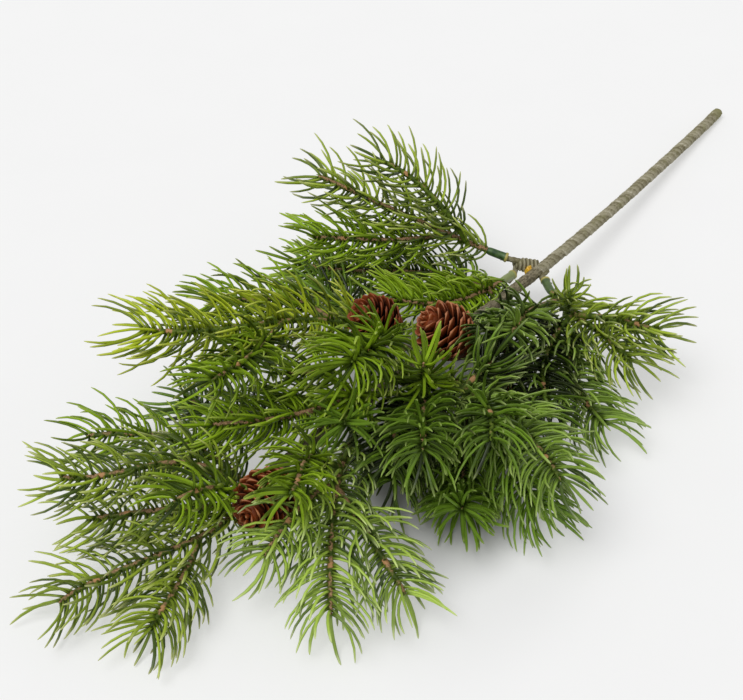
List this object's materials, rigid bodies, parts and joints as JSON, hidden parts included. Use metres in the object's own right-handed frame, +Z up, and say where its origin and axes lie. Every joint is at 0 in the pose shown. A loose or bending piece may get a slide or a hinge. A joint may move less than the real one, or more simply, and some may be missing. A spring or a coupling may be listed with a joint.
{
  "type": "artificial hemlock spray",
  "caption": "Artificial hemlock spray lying on its side: taped wire stem, side wires carrying moulded needle sprays, and small brown cones, for wreaths and arrangements.",
  "frame": {"origin": "middle of the footprint, on the surface the spray lies on", "axes": "+X along the stem from the leafy tip to the cut end, +Z up from the surface"},
  "size_m": [0.4034, 0.1872, 0.0725],
  "materials": {
    "tape": "matte crinkled paper tape in grey olive",
    "needles_light": "satin moulded plastic, yellow green, twigs dusted brown",
    "needles_mid": "satin moulded plastic, mid green, twigs dusted brown",
    "needles_dark": "satin moulded plastic, dark green, twigs dusted brown",
    "cone": "satin moulded plastic, red brown with paler scale edges",
    "glue": "glossy amber glue"
  },
  "bodies": {
    "root": {"cone_middle": "cone", "cone_middle_wire": "tape", "cone_rear": "cone", "cone_rear_wire": "tape", "cone_tip": "cone", "cone_tip_wire": "tape", "crown_leader": "needles_mid", "crown_sprig_1": "needles_dark", "crown_sprig_2": "needles_dark", "crown_wire": "tape", "front_leader": "needles_light", "front_right_leader": "needles_light", "front_right_sprig_1": "needles_dark", "front_right_sprig_2": "needles_dark", "front_right_sprig_3": "needles_dark", "front_right_sprig_4": "needles_dark", "front_right_sprig_5": "needles_dark", "front_right_wire": "tape", "front_sprig_1": "needles_mid", "front_sprig_2": "needles_light", "front_sprig_3": "needles_light", "front_sprig_4": "needles_dark", "front_wire": "tape", "glue_bead": "glue", "inner_right_leader": "needles_dark", "inner_right_sprig_1": "needles_dark", "inner_right_wire": "tape", "left_leader": "needles_light", "left_sprig_1": "needles_mid", "left_sprig_2": "needles_mid", "left_sprig_3": "needles_mid", "left_sprig_4": "needles_dark", "left_wire": "tape", "main_stem": "tape", "middle_leader": "needles_mid", "middle_sprig_1": "needles_mid", "middle_sprig_2": "needles_dark", "middle_sprig_3": "needles_mid", "middle_wire": "tape", "rear_left_leader": "needles_light", "rear_left_sprig_1": "needles_light", "rear_left_sprig_2": "needles_mid", "rear_left_wire": "tape", "rear_low_leader": "needles_mid", "rear_low_sprig_1": "needles_mid", "rear_low_wire": "tape", "right_leader": "needles_light", "right_sprig_1": "needles_light", "right_sprig_2": "needles_mid", "right_sprig_3": "needles_dark", "right_sprig_4": "needles_mid", "right_sprig_5": "needles_mid", "right_wire": "tape", "tape_binding": "tape", "tip_leader": "needles_light", "tip_sprig_1": "needles_light", "tip_sprig_2": "needles_light", "tip_sprig_3": "needles_light", "tip_sprig_4": "needles_mid", "tip_sprig_5": "needles_mid"}
  },
  "joints": []
}
